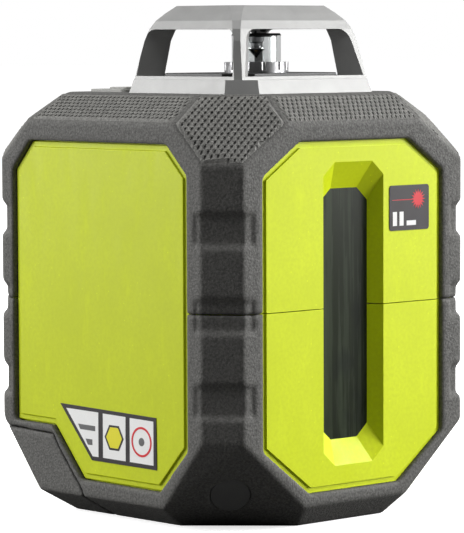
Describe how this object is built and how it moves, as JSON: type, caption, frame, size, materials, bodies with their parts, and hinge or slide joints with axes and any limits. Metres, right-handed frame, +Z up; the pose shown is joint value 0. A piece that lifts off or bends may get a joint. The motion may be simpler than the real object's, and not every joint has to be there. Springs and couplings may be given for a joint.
{
  "type": "self-levelling line laser level",
  "caption": "Eight-cornered soft-covered case with a glass cone tower under a metal cage, a tall line window, keypad, lock slide and battery door.",
  "frame": {"origin": "centre of the case at the underside of its base", "axes": "+Z up, -Y the way the line window looks, +X towards the side with the lock slide"},
  "size_m": [0.1112, 0.1144, 0.1605],
  "materials": {
    "cover": "fine-grained soft-touch moulding",
    "lime": "satin moulding",
    "door": "fine-grained moulding",
    "black_plastic": "satin moulding",
    "glass": "tinted clear",
    "clear_glass": "polished clear",
    "seal_rubber": "matt",
    "label_dark": "printed film",
    "label_pale": "printed film",
    "cage_metal": "satin bead-blasted",
    "polished_metal": "polished",
    "screw_steel": "machined",
    "brass": "machined",
    "copper": "machined copper-like disc",
    "chassis_metal": "as cast",
    "contact_spring": "nickel plated",
    "cell_sleeve": "shrink sleeve",
    "board_green": "solder mask",
    "chips": "moulded",
    "button_grey": "matt moulded",
    "light_green": "translucent"
  },
  "bodies": {
    "case": {"upper_cover": "cover", "lower_cover": "cover", "upper_shell": "lime", "lower_shell": "lime", "left_panel": "lime", "right_panel": "lime", "battery_tray": "black_plastic", "battery_contacts": "contact_spring", "cells": "cell_sleeve", "window_glass": "glass", "window_gasket": "seal_rubber", "front_label": "label_dark", "side_label": "label_pale", "corner_plugs": "seal_rubber", "case_screws": "screw_steel", "tripod_insert": "brass", "cage": "cage_metal", "cage_screws": "screw_steel", "roof_bumper": "seal_rubber", "tower_plinth": "black_plastic", "tower_collar": "polished_metal", "tower_tube": "clear_glass", "tower_seal": "seal_rubber", "tower_cap": "black_plastic", "cone_holder": "black_plastic", "cone_mirror": "polished_metal", "keypad_bezel": "door", "status_light": "light_green", "keypad_board": "board_green", "key_switches": "chips", "chassis": "chassis_metal", "magnet_yoke": "screw_steel", "damper_magnets": "polished_metal", "main_board": "board_green", "board_parts": "chips"},
    "gimbal": {"gimbal_ring": "chassis_metal", "gimbal_pins": "screw_steel"},
    "pendulum": {"pendulum_frame": "brass", "pendulum_pins": "screw_steel", "level_laser": "brass", "level_lens": "clear_glass", "plumb_laser": "brass", "plumb_lens": "clear_glass", "damper_plate": "copper"},
    "lock": {"lock_slide": "black_plastic", "lock_pad": "chassis_metal"},
    "level_key": {"button_level": "button_grey"},
    "plumb_key": {"button_plumb": "button_grey"},
    "door": {"battery_door": "door"},
    "latch": {"door_latch": "black_plastic"}
  },
  "joints": [
    {"name": "gimbal_tilt", "type": "hinge", "parent": "case", "child": "gimbal", "pos_m": [0, -0.0128, 0.108], "axis": [1, 0, 0], "range_deg": [-4, 4]},
    {"name": "pendulum_tilt", "type": "hinge", "parent": "gimbal", "child": "pendulum", "pos_m": [0, -0.0128, 0.108], "axis": [0, 1, 0], "range_deg": [-4, 4]},
    {"name": "lock_lift", "type": "slide", "parent": "case", "child": "lock", "axis": [0, 0, 1], "range_m": [0, 0.005]},
    {"name": "level_key_press", "type": "slide", "parent": "case", "child": "level_key", "axis": [0, 0, -1], "range_m": [0, 0.0008], "stiffness_N_per_m": 600, "springref_m": -0.0004},
    {"name": "plumb_key_press", "type": "slide", "parent": "case", "child": "plumb_key", "axis": [0, 0, -1], "range_m": [0, 0.0008], "stiffness_N_per_m": 600, "springref_m": -0.0004},
    {"name": "door_slide", "type": "slide", "parent": "case", "child": "door", "axis": [0, 1, 0], "range_m": [0, 0.055]},
    {"name": "latch_slide", "type": "slide", "parent": "door", "child": "latch", "axis": [0, 0, -1], "range_m": [0, 0.0024], "stiffness_N_per_m": 300, "springref_m": -0.001}
  ]
}
